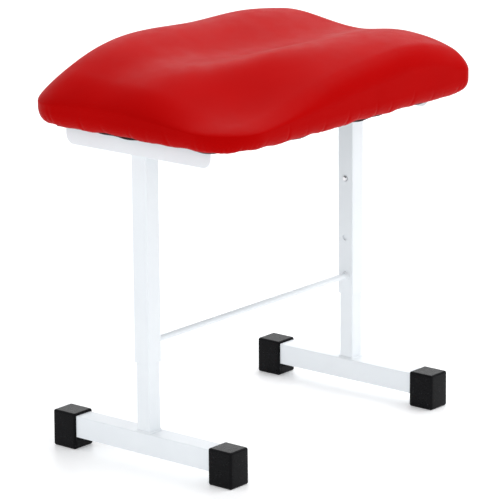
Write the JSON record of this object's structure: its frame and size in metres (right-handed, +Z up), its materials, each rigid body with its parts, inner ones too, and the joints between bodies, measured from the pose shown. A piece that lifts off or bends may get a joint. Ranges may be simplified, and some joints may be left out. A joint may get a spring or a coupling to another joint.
{
  "type": "kneeling massage chair",
  "caption": "Contoured padded stool on a telescopic two-leg tube frame with T-shaped feet, a round crossbar and rubber foot caps.",
  "frame": {"origin": "on the floor, under the middle of the pad and midway between the legs", "axes": "+Z up, +X from the left leg to the right leg, +Y along the foot bars from front to rear"},
  "size_m": [0.61, 0.43, 0.6362],
  "materials": {
    "red_vinyl": "soft satin upholstery vinyl",
    "foam": "open-cell polyurethane foam",
    "plywood": "birch plywood, unfinished",
    "black_spunbond": "matt non-woven cloth",
    "white_powder_coat": "white powder coat, semi-gloss",
    "black_rubber": "moulded, satin",
    "bright_steel": "nickel plated",
    "spring_steel": "plain spring strip",
    "zinc_plate": "bright zinc plate"
  },
  "bodies": {
    "left_foot": {"left_foot_bar": "white_powder_coat", "left_foot_weld": "white_powder_coat", "left_inner_tube": "white_powder_coat", "left_button_spring": "spring_steel", "left_front_cap": "black_rubber", "left_rear_cap": "black_rubber"},
    "upper_frame": {"pad_cover": "red_vinyl", "pad_foam": "foam", "base_board": "plywood", "dust_cover": "black_spunbond", "hem_staples": "zinc_plate", "tee_nuts": "zinc_plate", "rail_washers": "zinc_plate", "rail_bolts": "zinc_plate", "left_rail": "white_powder_coat", "right_rail": "white_powder_coat", "left_outer_tube": "white_powder_coat", "right_outer_tube": "white_powder_coat", "crossbar": "white_powder_coat", "frame_welds": "white_powder_coat"},
    "right_foot": {"right_foot_bar": "white_powder_coat", "right_foot_weld": "white_powder_coat", "right_inner_tube": "white_powder_coat", "right_button_spring": "spring_steel", "right_front_cap": "black_rubber", "right_rear_cap": "black_rubber"},
    "left_button": {"left_snap_button": "bright_steel"},
    "right_button": {"right_snap_button": "bright_steel"}
  },
  "joints": [
    {"name": "height", "type": "slide", "parent": "left_foot", "child": "upper_frame", "axis": [0, 0, 1], "range_m": [0, 0.1], "deforming": ["left_snap_button", "right_snap_button"]},
    {"name": "right_leg_slide", "type": "slide", "parent": "upper_frame", "child": "right_foot", "axis": [0, 0, -1], "range_m": [0, 0.1]},
    {"name": "left_button_press", "type": "slide", "parent": "left_foot", "child": "left_button", "axis": [-1, 0, 0], "range_m": [0, 0.005], "stiffness_N_per_m": 1500, "springref_m": -0.002, "deforming": ["left_button_spring"]},
    {"name": "right_button_press", "type": "slide", "parent": "right_foot", "child": "right_button", "axis": [1, 0, 0], "range_m": [0, 0.005], "stiffness_N_per_m": 1500, "springref_m": -0.002, "deforming": ["right_button_spring"]}
  ],
  "couplings": [
    {"joint": "right_leg_slide", "follows": "height", "ratio": 1}
  ]
}
